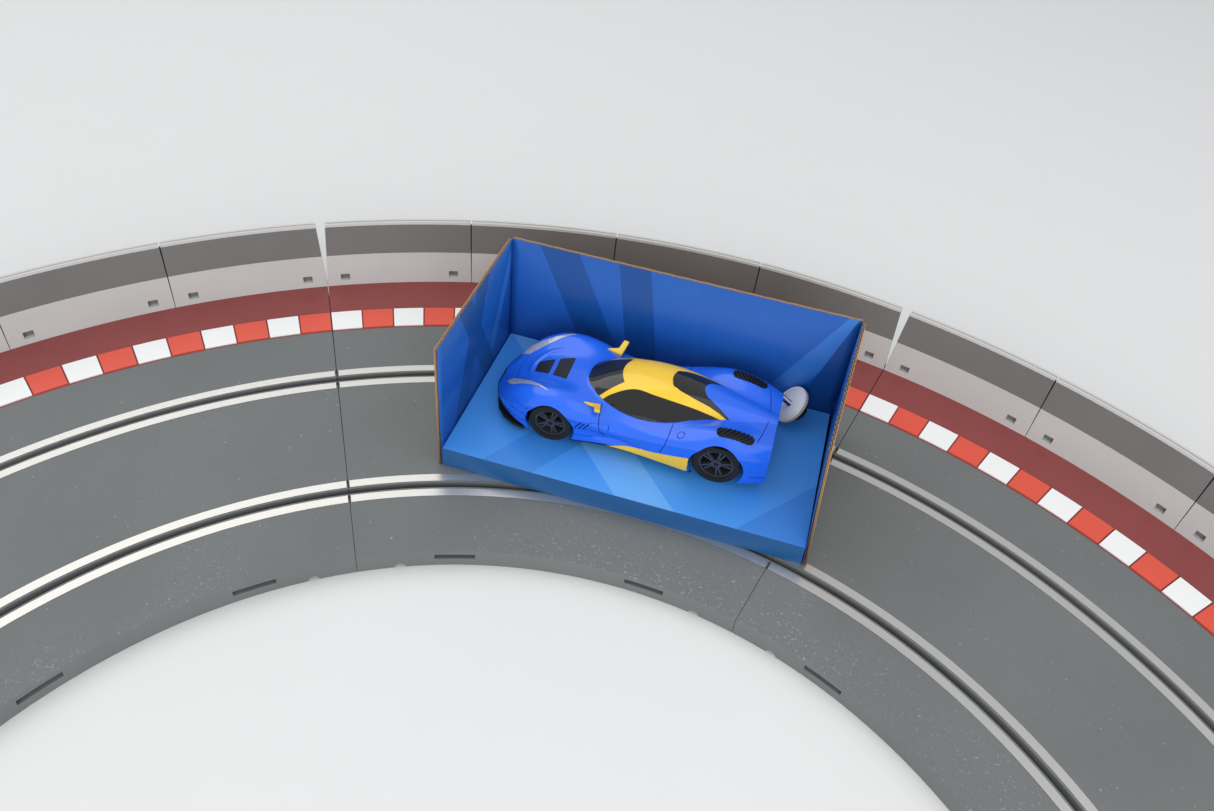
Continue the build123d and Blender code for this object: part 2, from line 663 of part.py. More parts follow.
def motor_parts():
    y0, y1 = CAN_Y
    can = flat_can(CAN_W, CAN_H, y0, y1)
    can -= flat_can(CAN_W - 2 * CAN_T, CAN_H - 2 * CAN_T, y0 - 1, y1 - CAN_T)
    can += rod_y(MOTOR_X, MOTOR_Z, 2.2, y1 - CAN_T, y1 + 1.2)
    bore = rod_y(MOTOR_X, MOTOR_Z, SHAFT_R + RUNNING_GAP, -20, 20)
    endbell = flat_can(CAN_W, CAN_H, y0 - 2.2, y0) + rod_y(MOTOR_X, MOTOR_Z, 2.4, y0 - 3.2, y0 - 2)
    shaft = rod_y(MOTOR_X, MOTOR_Z, SHAFT_R, y0 - 3, PINION_Y[1] + 0.6)
    shaft += rod_y(MOTOR_X, MOTOR_Z, 4.4, y0 + 2.5, y1 - 3)
    shaft += rod_y(MOTOR_X, MOTOR_Z, 2.2, y0 + 0.6, y0 + 2.5)
    return {"motor_can": can - bore, "motor_endbell": endbell - bore, "motor_shaft": shaft}


def guide_parts():
    flag = Cylinder(GUIDE_FLAG_R, 1.5, align=(Align.CENTER, Align.CENTER, Align.MIN))
    post = Cylinder(GUIDE_POST_R, 5.2, align=(Align.CENTER, Align.CENTER, Align.MIN))
    cap = Cylinder(GUIDE_POST_R + 0.8, 1, align=(Align.CENTER, Align.CENTER, Align.MIN))
    guide = Pos(0, 0, 1.6) * flag + Pos(0, 0, 1.6) * post + Pos(0, 0, NOSE_BLOCK_Z + 0.1) * cap
    guide += span_box(BLADE_X, (-BLADE_W / 2, BLADE_W / 2), (BLADE_Z0, 1.7))
    braids = mirrored(span_box((-7, 6), (1.3, 4.1), (1.0, 1.6)))
    place = Pos(GUIDE_X, 0, 0)
    return {"guide_blade": place * guide, "pickup_braids": [place * braid for braid in braids]}


def contact_plates():
    plate = span_box((10, 30), (5.3, 8.0), (CHASSIS_Z[1], CHASSIS_Z[1] + 0.4))
    return mirrored(plate)


def motor_leads():
    """Insulated wires from the contact plates back to the motor, one on each side."""
    height = CHASSIS_Z[1] + LEAD_LIFT
    corners = [(x, y, height) for x, y in LEAD_ROUTE]
    route = FilletPolyline(*corners, radius=LEAD_BEND_R)
    section = Plane(origin=route @ 0, z_dir=route % 0) * Circle(LEAD_R)
    return mirrored(sweep(section, path=route))


def body_screws():
    screws = []
    for x, y in SCREW_POINTS:
        shank = Cylinder(SCREW_R, 6.4, align=(Align.CENTER, Align.CENTER, Align.MIN))
        head = Cylinder(SCREW_HEAD_R, SCREW_HEAD_H, align=(Align.CENTER, Align.CENTER, Align.MIN))
        recess = Box(0.6, 2.6, 1.0) + Box(2.6, 0.6, 1.0)
        base = CHASSIS_Z[0] - SCREW_HEAD_H
        screws.append(Pos(x, y, base) * (shank + head - recess))
    return screws


def transit_parts():
    """Parts of the transit screw, along X from the knob to the tip."""

    def along(radius, s0, s1):
        return Pos((s0 + s1) / 2, 0, 0) * Rot(0, 90, 0) * Cylinder(radius, s1 - s0)

    knob = along(KNOB_R, *KNOB_S)
    flute = Pos(sum(KNOB_S) / 2, KNOB_R + 0.5, 0) * Rot(0, 90, 0) * Cylinder(FLUTE_R, 10)
    for step in range(FLUTES):
        knob -= Rot(step * 360 / FLUTES, 0, 0) * flute
    knob -= along(TRANSIT_SHANK_R, TRANSIT_SHANK_S[0], KNOB_S[1] + 1)
    bolt = along(TRANSIT_SHANK_R, *TRANSIT_SHANK_S)
    bolt = chamfer(bolt.edges().sort_by(Axis.X)[-1], 0.4)
    hole = along(TRANSIT_SHANK_R + 0.1, *TRANSIT_SHANK_S)
    washers = [along(radius, s0, s1) - hole for radius, s0, s1 in WASHERS]
    return {"transit_knob": knob, "transit_bolt": bolt, "transit_washers": washers}


def wheel_set(prefix, x, tyre_r, rim_r, width):
    return {
        f"{prefix}_axle": axle(x, tyre_r),
        f"{prefix}_rims": mirrored(rim(x, tyre_r, rim_r, width)),
        f"{prefix}_tyres": mirrored(tyre(x, tyre_r, rim_r, width)),
    }


def track_parts():
    parts = {}
    for index in range(SECTION_COUNT):
        mid = section_mid(index)
        number = index + 1
        parts[f"track_section_{number}"] = track_section(mid)
        parts[f"rails_{number}"] = rails(mid)
        parts[f"border_{number}"] = border(mid)
        for panel in range(PANELS):
            parts[f"barrier_{index * PANELS + panel + 1}"] = barrier_panel(mid, panel)
    parts["kerb_pads_white"] = kerb_pads(0)
    parts["kerb_pads_red"] = kerb_pads(1)
    return parts


def car_parts():
    parts = car_body_parts() | cabin_parts() | motor_parts() | guide_parts()
    parts["cockpit_tray"] = cockpit_tray()
    parts["chassis"] = chassis()
    parts["front_splitter"] = front_splitter()
    parts["rear_diffuser"] = rear_diffuser()
    parts["side_skirts"] = side_skirts()
    parts["door_mirrors"] = door_mirrors()
    parts["axle_bushes"] = bushes()
    parts["bar_magnet"] = span_box((78, 86), (-10, 10), (CHASSIS_Z[1], CHASSIS_Z[1] + 2))
    parts["contact_plates"] = contact_plates()
    parts["motor_leads"] = motor_leads()
    parts["body_screws"] = body_screws()
    parts |= wheel_set("front", FRONT_AXLE_X, FRONT_TYRE_R, FRONT_RIM_R, FRONT_TYRE_W)
    parts |= wheel_set("rear", REAR_AXLE_X, REAR_TYRE_R, REAR_RIM_R, REAR_TYRE_W)
    parts["axle_gear"] = gear(GEAR_TEETH, REAR_AXLE_X, REAR_TYRE_R, GEAR_Y, AXLE_R, 0)
    half_tooth = 180 / PINION_TEETH
    parts["motor_pinion"] = gear(PINION_TEETH, MOTOR_X, MOTOR_Z, PINION_Y, SHAFT_R, half_tooth)
    return parts


def solids_of(shape):
    """Every solid of a shape or of a list of shapes."""
    shapes = shape if isinstance(shape, list) else [shape]
    return [solid for item in shapes for solid in item.solids()]


def export_parts(parts, place):
    for name, shape in parts.items():
        solids = [place * solid for solid in solids_of(shape)]
        node = solids[0] if len(solids) == 1 else Compound(children=solids)
        node.label = name
        export_step(node, f"parts/{name}.step")


os.makedirs("parts", exist_ok=True)
export_parts(track_parts(), BEND)
export_parts({"tray_walls": tray_walls(), "tray_deck": tray_deck()}, TRAY)
export_parts(car_parts(), CAR)
export_parts(transit_parts(), TRANSIT_SCREW)
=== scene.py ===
import json
from math import cos, pi, radians, sin

import bpy
import numpy as np
from mathutils import Matrix, Vector


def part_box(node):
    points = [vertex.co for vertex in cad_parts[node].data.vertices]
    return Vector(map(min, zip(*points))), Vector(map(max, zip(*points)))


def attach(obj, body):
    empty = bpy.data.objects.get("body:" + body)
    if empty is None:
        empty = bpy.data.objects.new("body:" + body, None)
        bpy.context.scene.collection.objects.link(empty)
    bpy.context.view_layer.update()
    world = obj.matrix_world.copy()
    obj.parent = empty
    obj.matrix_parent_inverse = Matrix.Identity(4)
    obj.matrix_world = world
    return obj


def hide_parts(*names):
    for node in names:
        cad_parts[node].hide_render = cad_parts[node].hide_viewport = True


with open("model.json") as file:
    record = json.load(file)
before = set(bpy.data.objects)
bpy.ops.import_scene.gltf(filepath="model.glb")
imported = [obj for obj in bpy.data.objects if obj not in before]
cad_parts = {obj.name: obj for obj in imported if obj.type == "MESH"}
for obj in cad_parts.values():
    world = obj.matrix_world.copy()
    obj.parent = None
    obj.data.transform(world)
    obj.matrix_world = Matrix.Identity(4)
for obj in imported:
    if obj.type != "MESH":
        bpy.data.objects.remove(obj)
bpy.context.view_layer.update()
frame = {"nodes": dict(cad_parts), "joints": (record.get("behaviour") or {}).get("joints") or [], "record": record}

MM = 0.001

# Camera, in the frame's metres and degrees
CAMERA_PLACE = (0.0319, -0.3062, 0.3543)
CAMERA_HEADING = 93.21
CAMERA_TILT = 42.76
CAMERA_ROLL = 6.53
CAMERA_LENS = 29.35

# Track, in the frame's metres and degrees about the bend's centre
BORDER_HALF_ANGLE = 22.47
BEND_START = 157.5
SECTION_ANGLE = 45
PANEL_ANGLE = 11.25
SECTIONS = 3
PANELS = 12
WEAR_STARTS_R = 0.262
WEAR_FULL_R = 0.215
TRACK_TOP_Z = (0.0088, 0.0094)
BARRIER_BAND_Z = 0.0282
BARRIER_RIM_Z = 0.0453
BARRIER_R = 0.4119


def srgb(red, green, blue):
    """Linear colour from 0-255 display values."""
    linear = []
    for value in (red, green, blue):
        value /= 255
        linear.append(value / 12.92 if value <= 0.04045 else ((value + 0.055) / 1.055) ** 2.4)
    return (*linear, 1.0)


class Shader:
    """A material's node tree, with short calls for the nodes that this scene uses."""

    def __init__(self, name):
        self.material = bpy.data.materials.new(name)
        self.material.use_nodes = True
        self.tree = self.material.node_tree
        self.bsdf = self.tree.nodes["Principled BSDF"]
        self.place = self.node("TexCoord").outputs["Object"]

    def put(self, socket, value):
        if isinstance(value, bpy.types.NodeSocket):
            self.tree.links.new(value, socket)
        else:
            socket.default_value = value

    def node(self, kind, inputs=None, **settings):
        made = self.tree.nodes.new("ShaderNode" + kind)
        for key, value in settings.items():
            setattr(made, key, value)
        for key, value in (inputs or {}).items():
            self.put(made.inputs[key], value)
        return made

    def set(self, **values):
        """Principled inputs by name, with _ for a space."""
        for key, value in values.items():
            self.put(self.bsdf.inputs[key.replace("_", " ")], value)
        return self

    def maths(self, operation, a, b=0.0, clamp=False):
        return self.node("Math", {0: a, 1: b}, operation=operation, use_clamp=clamp).outputs[0]

    def noise(self, scale, detail=2.0, roughness=0.5, vector=None):
        inputs = {"Vector": vector or self.place, "Scale": scale, "Detail": detail, "Roughness": roughness}
        return self.node("TexNoise", inputs).outputs["Fac"]

    def scaled(self, factors, vector=None):
        inputs = {"Vector": vector or self.place, "Scale": factors}
        return self.node("Mapping", inputs).outputs["Vector"]

    def step(self, value, low, high):
        """0 below low and 1 above high, straight between."""
        inputs = {"Value": value, "From Min": low, "From Max": high}
        return self.node("MapRange", inputs).outputs["Result"]

    def mix(self, factor, first, second):
        made = self.node("Mix", data_type="RGBA")
        self.put(made.inputs[0], factor)
        self.put(made.inputs[6], first)
        self.put(made.inputs[7], second)
        return made.outputs[2]

    def blend(self, value, first, second):
        """Number between first and second by value."""
        inputs = {"Value": value, "To Min": first, "To Max": second}
        return self.node("MapRange", inputs).outputs["Result"]

    def bump(self, height, distance, strength=1.0):
        inputs = {"Height": height, "Distance": distance, "Strength": strength}
        self.put(self.bsdf.inputs["Normal"], self.node("Bump", inputs).outputs["Normal"])
        return self


def bend_centre():
    """Centre of the curve, from the one border strip that lies square to the frame."""
    low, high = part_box("border_2")
    chord = (high.x - low.x) / 2
    return Vector((0, high.y - chord / sin(radians(BORDER_HALF_ANGLE)), 0))


BEND = bend_centre()


def polar(shader):
    """Radius from the bend's centre and height in metres, with azimuth in radians between them."""
    inputs = {0: shader.place, 1: tuple(BEND)}
    offset = shader.node("VectorMath", inputs, operation="SUBTRACT").outputs[0]
    split = shader.node("SeparateXYZ", {0: offset}).outputs
    squares = [shader.maths("MULTIPLY", axis, axis) for axis in (split[0], split[1])]
    square = shader.maths("ADD", *squares)
    return shader.maths("SQRT", square), shader.maths("ARCTAN2", split[1], split[0]), split[2]


def finish_plain(name, colour, roughness, grain=900.0, relief=0.00002, spread=0.06, **extra):
    """Moulded plastic: slight colour drift, fine grain in the surface, uneven gloss."""
    shader = Shader(name)
    drift = shader.noise(35.0, 4.0)
    dark = tuple(channel * (1 - spread) for channel in colour[:3]) + (1,)
    light = tuple(min(1, channel * (1 + spread)) for channel in colour[:3]) + (1,)
    shader.set(Base_Color=shader.mix(drift, dark, light))
    shader.set(Roughness=shader.blend(shader.noise(120.0, 5.0), roughness * 0.85, roughness * 1.15))
    shader.set(**extra)
    shader.bump(shader.noise(grain, 3.0), relief)
    return shader.material


def asphalt():
    """Track plastic: grainy grey, with bright worn flecks towards the inner edge."""
    shader = Shader("track_asphalt")
    radius, _, height = polar(shader)
    grain = shader.noise(1500.0, 6.0, 0.7)
    patches = shader.noise(14.0, 5.0)
    tone = shader.maths("ADD", shader.maths("MULTIPLY", grain, 0.55), shader.maths("MULTIPLY", patches, 0.45))
    colour = shader.mix(tone, srgb(92, 95, 95), srgb(128, 131, 130))
    flecks = shader.step(shader.noise(700.0, 3.0, 0.8), 0.60, 0.70)
    worn = shader.maths("MULTIPLY", flecks, shader.step(radius, WEAR_STARTS_R, WEAR_FULL_R), clamp=True)
    stray = shader.maths("MULTIPLY", shader.step(shader.noise(420.0, 2.0, 0.6), 0.70, 0.74), 0.5)
    worn = shader.maths("MAXIMUM", shader.maths("MULTIPLY", worn, shader.step(patches, 0.42, 0.6)), stray)
    top = shader.step(height, *TRACK_TOP_Z)
    worn = shader.maths("MULTIPLY", worn, top)
    shader.set(Base_Color=shader.mix(worn, colour, srgb(176, 178, 176)))
    shader.set(Roughness=shader.blend(worn, 0.52, 0.3), Specular_IOR_Level=0.4)
    wide_pits = shader.maths("MULTIPLY", shader.noise(260.0), 0.6)
    pits = shader.maths("ADD", shader.noise(1300.0, 4.0, 0.75), wide_pits)
    shader.bump(pits, 0.00012, 0.55)
    return shader.material


def rail_steel():
    """Rolled steel strip with fine marks along its length."""
    shader = Shader("rail_steel")
    radius, azimuth, _ = polar(shader)
    inputs = {0: shader.maths("MULTIPLY", radius, 9000.0), 1: shader.maths("MULTIPLY", azimuth, 3.0)}
    along = shader.node("CombineXYZ", inputs)
    marks = shader.noise(1.0, 4.0, vector=along.outputs[0])
    shader.set(Base_Color=shader.mix(marks, srgb(205, 203, 196), srgb(228, 226, 220)), Metallic=0.85)
    shader.set(Roughness=shader.blend(marks, 0.24, 0.4))
    shader.bump(marks, 0.00001)
    return shader.material


def barrier_grey():
    """Light grey panel with a darker band over its upper half and a pale rim."""
    shader = Shader("barrier_grey")
    _, _, height = polar(shader)
    edge = shader.maths("ADD", height, shader.maths("MULTIPLY", shader.noise(900.0), 0.00025))
    upper = shader.maths("GREATER_THAN", edge, BARRIER_BAND_Z)
    rim = shader.maths("GREATER_THAN", edge, BARRIER_RIM_Z)
    drift = shader.noise(26.0, 5.0)
    light = shader.mix(drift, srgb(192, 193, 192), srgb(206, 206, 204))
    dark = shader.mix(drift, srgb(112, 112, 111), srgb(126, 126, 124))
    colour = shader.mix(rim, shader.mix(upper, light, dark), srgb(206, 206, 203))
    shader.set(Base_Color=colour, Roughness=shader.blend(shader.noise(90.0, 4.0), 0.42, 0.58))
    shader.bump(shader.noise(1400.0, 3.0), 0.00003)
    return shader.material


def paint_cad_nodes():
    """Gives every CAD node that stays in view its material."""
    by_slot = {
        "track_plastic": asphalt(),
        "rail_steel": rail_steel(),
        "border_red": finish_plain("border_red", srgb(140, 66, 64), 0.5, spread=0.1),
        "kerb_white": finish_plain("kerb_white", srgb(246, 247, 245), 0.45, spread=0.02),
        "kerb_red": finish_plain("kerb_red", srgb(226, 88, 68), 0.42, spread=0.07),
        "barrier_grey": barrier_grey(),
        "tray_board": finish_plain("tray_plain", srgb(50, 120, 205), 0.4),
        "trim_black": finish_plain("trim_black", srgb(28, 28, 30), 0.42),
        "steel": finish_plain("bright_steel", srgb(185, 185, 185), 0.28, Metallic=1.0),
        "washer_white": finish_plain("washer_white", srgb(232, 233, 233), 0.4),
        "body_blue": finish_plain("body_blue", srgb(28, 92, 226), 0.22, relief=0.000004, Coat_Weight=0.6),
        "body_yellow": finish_plain(
            "body_yellow", srgb(246, 204, 62), 0.28, relief=0.000004, Coat_Weight=0.4
        ),
        "dark_glazing": finish_plain("dark_glazing", srgb(30, 30, 32), 0.1, relief=0.000002),
        "clear_lens": finish_plain("clear_lens", srgb(205, 212, 216), 0.08, relief=0.00002),
        "lamp_red": finish_plain("lamp_red", srgb(150, 20, 20), 0.15),
        "magnet": finish_plain("magnet", srgb(60, 60, 62), 0.5),
        "brass": finish_plain("brass", srgb(200, 160, 95), 0.3, Metallic=1.0),
        "lead_insulation": finish_plain("lead_insulation", srgb(140, 30, 30), 0.5),
        "rim_grey": finish_plain("rim_grey", srgb(88, 88, 92), 0.32, Metallic=0.6),
        "tyre": finish_plain("tyre", srgb(30, 30, 31), 0.75, grain=2500.0, relief=0.00006),
        "gear_nylon": finish_plain("gear_nylon", srgb(225, 220, 205), 0.45),
    }
    for part in frame["record"]["subparts"]:
        mesh = frame["nodes"][part["node"]].data
        mesh.materials.clear()
        mesh.materials.append(by_slot[part["material_slot"]])


# Car body, in car millimetres. Each axle is its x, its arch's centre height and its arch's radius.
# x runs from the nose to the tail, y across, z up from the ground
CAR_L = 134.0
SILL_Z = 4.2
FRONT_AXLE = (32.0, 10.4, 11.9)
REAR_AXLE = (111.5, 11.2, 12.7)
WAIST_Z = 18.5
ARCH_GAP = 0.15
ARCH_INNER_Y = 13.0
TAIL_LAMP_Y = (-18.0, -13.4, 13.4, 18.0)
TAIL_LAMP_Z = 17.2


def curve(*points):
    """Smooth function through (x, value) points."""
    xs, ys = np.array(points, float).T
    slopes = np.gradient(ys, xs)

    def at(x):
        x = np.clip(x, xs[0], xs[-1])
        i = np.clip(np.searchsorted(xs, x) - 1, 0, len(xs) - 2)
        step = xs[i + 1] - xs[i]
        t = (x - xs[i]) / step
        rise = ys[i] * (2 * t**3 - 3 * t**2 + 1) + ys[i + 1] * (3 * t**2 - 2 * t**3)
        return rise + step * (slopes[i] * (t**3 - 2 * t**2 + t) + slopes[i + 1] * (t**3 - t**2))

    return at


HALF_WIDTH = curve(
    (0, 6), (1.5, 10.5), (4, 14.5), (8, 19.2), (13, 23.2), (20, 26.2), (30, 27.8), (42, 27.5),
    (56, 26), (70, 25.8), (86, 27.2), (100, 28.6), (112, 28.8), (122, 27.4), (130, 24.8), (134, 23),
)
SHOULDER = curve(
    (0, 7.2), (6, 10.4), (14, 15.4), (24, 19.4), (34, 20.4), (46, 17.8), (60, 15), (78, 15.6),
    (94, 19), (108, 21.2), (122, 19.8), (134, 17.4),
)
BONNET = curve(
    (0, 9.2), (4, 12), (10, 15.6), (18, 19.2), (28, 22), (40, 23.4), (54, 23.2), (76, 22.6),
    (96, 23.2), (110, 23.8), (124, 23.6), (134, 22.8),
)
FENDER = curve(
    (0, 9.4), (4, 13), (8, 17.2), (14, 22), (20, 25), (30, 26.8), (38, 25.8), (50, 22.6),
    (64, 20.6), (78, 20.2), (90, 21.8), (98, 24.6), (108, 27.2), (116, 27.2), (124, 25.2), (134, 23.2),
)
FENDER_Y = curve(
    (0, 6), (10, 17), (20, 20.8), (36, 22), (60, 21.2), (90, 21.8), (110, 22.4), (134, 18),
)
ROOF = curve(
    (38, 21), (44, 24.2), (52, 28.2), (60, 31.2), (70, 33), (80, 33.4), (90, 32.8), (100, 31),
    (112, 28.4), (124, 25.8), (134, 23.4),
)
CABIN_W = curve(
    (38, 0.5), (39.5, 6.6), (43, 11.2), (50, 15.2), (58, 17.3), (68, 18.5), (82, 18.5), (94, 17),
    (106, 13.8), (116, 10.2), (134, 5),
)
PILLAR_FRONT = curve((38, 18.0), (50.5, 13.9), (56, 11.2), (62, 8.0), (70, 3.0))
WINDOW_TOP = curve(
    (49, 18.4), (53, 15), (60, 12.4), (67, 10.8), (77, 11.6), (87, 11.9), (100, 11.2), (114, 10.1), (134, 9),
)
REAR_GLASS_W = curve(
    (82.4, 0.5), (83.2, 3.6), (86, 6), (92, 7.6), (103, 8.6), (115, 9.8), (134, 9.8),
)
TONGUE_W = curve((97.6, 0.3), (99, 3.2), (103, 5.8), (109, 8.0), (115, 9.8), (134, 12.0))


def body_top(x, y):
    """Height of the body without its cabin."""
    base = BONNET(x)
    ridge = np.exp(-(((np.abs(y) - FENDER_Y(x)) / 7.5) ** 2))
    ring = np.hypot((x - 27) / 12.5, y / 12.5)
    lip = 0.7 * np.exp(-(((ring - 1) / 0.07) ** 2)) * np.clip((30 - x) / 8, 0, 1)
    top = base + (FENDER(x) - base) * ridge + lip
    edge = np.clip(1 - (np.abs(y) / HALF_WIDTH(x)) ** 5, 0, 1) ** 0.5
    return SHOULDER(x) + (top - SHOULDER(x)) * edge


def cabin_top(x, y):
    """Height of the teardrop cabin, which dives under the body beside it."""
    side = np.abs(y) / CABIN_W(x)
    rest = 1 - side**2.6
    dome = np.sign(rest) * np.minimum(np.abs(rest), 4) ** 0.66
    return np.where(x < 38, 0.0, WAIST_Z + (ROOF(x) - WAIST_Z) * dome)


class Skin:
    """Polygons over shared points, which can be cut along the zero line of a field of position."""

    def __init__(self, points, faces):
        self.points = points
        self.faces = faces

    def strip(self, middle, half, limit):
        """A line of the given half width along middle's zero, where limit is above zero, and the rest."""
        near, rest = self.cut(limit)
        above, low = near.cut(lambda x, y, z: middle(x, y, z) + half)
        line, high = above.cut(lambda x, y, z: half - middle(x, y, z))
        return line, Skin(line.points, rest.faces + low.faces + high.faces)

    def cut(self, field):
        """Two skins: the part where the field is above zero, and the rest."""
        values = field(*self.points.T)
        above = values > 0
        extra = []
        known = {}
        halves = ([], [])
        for face in self.faces:
            parts = ([], [])
            for a, b in zip(face, face[1:] + face[:1]):
                parts[0 if above[a] else 1].append(a)
                if above[a] == above[b]:
                    continue
                key = (min(a, b), max(a, b))
                if key not in known:
                    share = values[a] / (values[a] - values[b])
                    known[key] = len(self.points) + len(extra)
                    extra.append(self.points[a] * (1 - share) + self.points[b] * share)
                parts[0].append(known[key])
                parts[1].append(known[key])
            for half, part in zip(halves, parts):
                if len(part) > 2:
                    half.append(part)
        points = np.vstack([self.points, *extra]) if extra else self.points
        return Skin(points, halves[0]), Skin(points, halves[1])


def grid_faces(rows, columns):
    """Quads over a grid of points numbered row by row."""
    return [
        [i * columns + j, i * columns + j + 1, (i + 1) * columns + j + 1, (i + 1) * columns + j]
        for i in range(rows - 1)
        for j in range(columns - 1)
    ]


def body_skin(stations=260, across=84, down=16):
    """The whole outer surface of the car, without openings."""
    even = np.linspace(0, 1, stations)
    x = CAR_L * (0.35 * even + 0.65 * (0.5 - 0.5 * np.cos(pi * even)))
    over_x, share = np.meshgrid(x, np.sin(np.linspace(0, pi / 2, across)), indexing="ij")
    over_y = share * HALF_WIDTH(over_x)
    body = body_top(over_x, over_y)
    cabin = cabin_top(over_x, over_y)
    over_z = (body + cabin + np.hypot(body - cabin, 0.6)) / 2
    side_x, drop = np.meshgrid(x, np.linspace(0, 1, down + 1)[1:], indexing="ij")
    side_z = SHOULDER(side_x) + (SILL_Z - SHOULDER(side_x)) * drop
    scoop = 2.8 * np.exp(-(((side_x - 62) / 15) ** 2)) * np.exp(-(((drop - 0.5) / 0.32) ** 2))
    side_y = HALF_WIDTH(side_x) - 1.6 * drop**2.2 - scoop
    over, under = (over_x, over_y, over_z), (side_x, side_y, side_z)
    half = np.stack([np.hstack(pair) for pair in zip(over, under)], 2)
    both = np.concatenate([half[:, ::-1] * (1, -1, 1), half[:, 1:]], 1)
    return Skin(both.reshape(-1, 3), grid_faces(stations, both.shape[1]))


def arch(x, y, z):
    """Above zero inside either pair of wheel arches."""
    fields = [radius - np.hypot(x - place, z - height) for place, height, radius in (FRONT_AXLE, REAR_AXLE)]
    return np.minimum(np.maximum(*fields), np.abs(y) - ARCH_INNER_Y)


def greenhouse(x, y, z):
    return cabin_top(x, y) - body_top(x, y) - 0.5


def windscreen(x, y, z):
    roof_edge = 59.3 + 2.2 * (y / 7.6) ** 2
    return np.minimum(PILLAR_FRONT(x) - np.abs(y), roof_edge - x)


def side_window(x, y, z):
    return np.minimum.reduce([np.abs(y) - WINDOW_TOP(x), x - 51.0, 114.5 - x])


def rear_window(x, y, z):
    glass = np.minimum(REAR_GLASS_W(x) - np.abs(y), 115.5 - x)
    return np.minimum.reduce([glass, x - 82.6, np.maximum(np.abs(y) - TONGUE_W(x), 98.0 - x)])


def rear_tongue(x, y, z):
    return np.minimum(TONGUE_W(x) - np.abs(y), x - 97.6)


def bonnet_vent(x, y, z):
    """Two slots across the bonnet, one behind the other."""
    width = 3.2 + 0.27 * (x - 16.5)
    slots = np.maximum(4.1 - np.abs(x - 20.7), 3.9 - np.abs(x - 30.2))
    return np.minimum(slots, width + 0.8 - np.abs(y)) - 0.3


def rear_vent(x, y, z):
    """A rounded slot on each rear fender."""
    centre = 20.4 - 0.10 * (x - 117)
    return 2.5 - np.hypot(np.maximum(np.abs(x - 117) - 6.0, 0), np.abs(y) - centre)


def louvres(x, y, z):
    """Above zero on the slanted slats of the rear slots."""
    return np.sin((x + 0.8 * np.abs(y)) * 2 * pi / 1.9) - 0.05


def headlight(x, y, z):
    """A swept-back lamp on the inner side of each front fender, widest near the nose."""
    middle = 11.4 + 0.47 * (x - 7)
    width = np.minimum(0.75 * (x - 6.0), 0.13 * (29.5 - x))
    return width - np.abs(np.abs(y) - middle)


def splitter(x, y, z):
    return np.minimum(10.6 - 0.3 * x - z, 19.2 - x)


def skirt(x, y, z):
    """Yellow flash that rises towards the rear wheel."""
    top = 4.6 + 0.25 * (x - 60) * np.clip((x - 58) / 6, 0, 1)
    return np.minimum.reduce([top - z, x - 59, 99 - x, np.abs(y) - 20, 16 - z])


def sill(x, y, z):
    return np.minimum.reduce([5.2 - z, x - 40, 103 - x])


# Fine gaps in the shell: a line of position, its half width and the part of the shell that it runs over
SEAMS = (
    # Rear, front and lower edge of each door
    (
        lambda x, y, z: x - 88.4 + 0.35 * (21 - z),
        0.17,
        lambda x, y, z: np.minimum(np.abs(y) - 18.4, z - 8.8),
    ),
    (
        lambda x, y, z: x - 54.4 - 0.3 * (20 - z),
        0.17,
        lambda x, y, z: np.minimum(np.abs(y) - 16.5, z - 8.8),
    ),
    (
        lambda x, y, z: z - 8.8,
        0.17,
        lambda x, y, z: np.minimum.reduce([np.abs(y) - 20, 84.2 - x, x - 57.7]),
    ),
    # Small round cap behind each door
    (
        lambda x, y, z: np.hypot(x - 93.5, np.abs(y) - 24.3) - 1.6,
        0.14,
        lambda x, y, z: np.minimum(x - 90, 97 - x),
    ),
    # Across the tail and across the nose
    (lambda x, y, z: x - 129.8 + 0.008 * y**2, 0.16, lambda x, y, z: 19 - np.abs(y)),
    (lambda x, y, z: x - 8.6 - 0.012 * y**2, 0.14, lambda x, y, z: 14 - np.abs(y)),
)
SLIT_PLACES = (45.6, 47.6, 49.6)


def slit(place):
    """A short slanted gap behind each front wheel, in the same form as a seam."""
    return (
        lambda x, y, z: x - 0.7 * (z - 16) - place,
        0.4,
        lambda x, y, z: np.minimum.reduce([np.abs(y) - 22, z - 13.6, 18 - z, 60 - x]),
    )


def car_place():
    """Matrix from car millimetres to the frame, from the two axle joints."""
    at = {joint["name"]: Vector(joint["pos_m"]) for joint in frame["joints"] if "axle_spin" in joint["name"]}
    front, rear = at["front_axle_spin"], at["rear_axle_spin"]
    along = Vector((rear.x - front.x, rear.y - front.y, 0)).normalized()
    across = Vector((-along.y, along.x, 0))
    turn = Matrix((along, across, (0, 0, 1))).transposed().to_4x4()
    ground = Vector((front.x, front.y, front.z - FRONT_AXLE[1] * MM))
    from_nose = Matrix.Translation((-FRONT_AXLE[0], 0, 0))
    return Matrix.Translation(ground) @ turn @ Matrix.Scale(MM, 4) @ from_nose


CAR = car_place()


def add_piece(name, points, faces, material, body, place=CAR, slot=None, replaces=(), smooth=True):
    """Mesh from points in a sub-part's own millimetres, riding on a CAD body."""
    mesh = bpy.data.meshes.new(name)
    mesh.from_pydata([tuple(place @ Vector(point)) for point in points], [], faces)
    mesh.polygons.foreach_set("use_smooth", [smooth] * len(mesh.polygons))
    mesh.materials.append(material)
    piece = bpy.data.objects.new(name, mesh)
    bpy.context.scene.collection.objects.link(piece)
    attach(piece, body)
    if replaces:
        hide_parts(*replaces)
    return piece


def thicken(piece, depth, lift=0.0, crease=35):
    """Gives a skin depth inwards, in millimetres, after moving it outwards by lift."""
    shell = piece.modifiers.new("shell", "SOLIDIFY")
    shell.thickness = depth * MM
    shell.offset = -1 + 2 * lift / depth
    edges = piece.modifiers.new("edges", "EDGE_SPLIT")
    edges.split_angle = radians(crease)


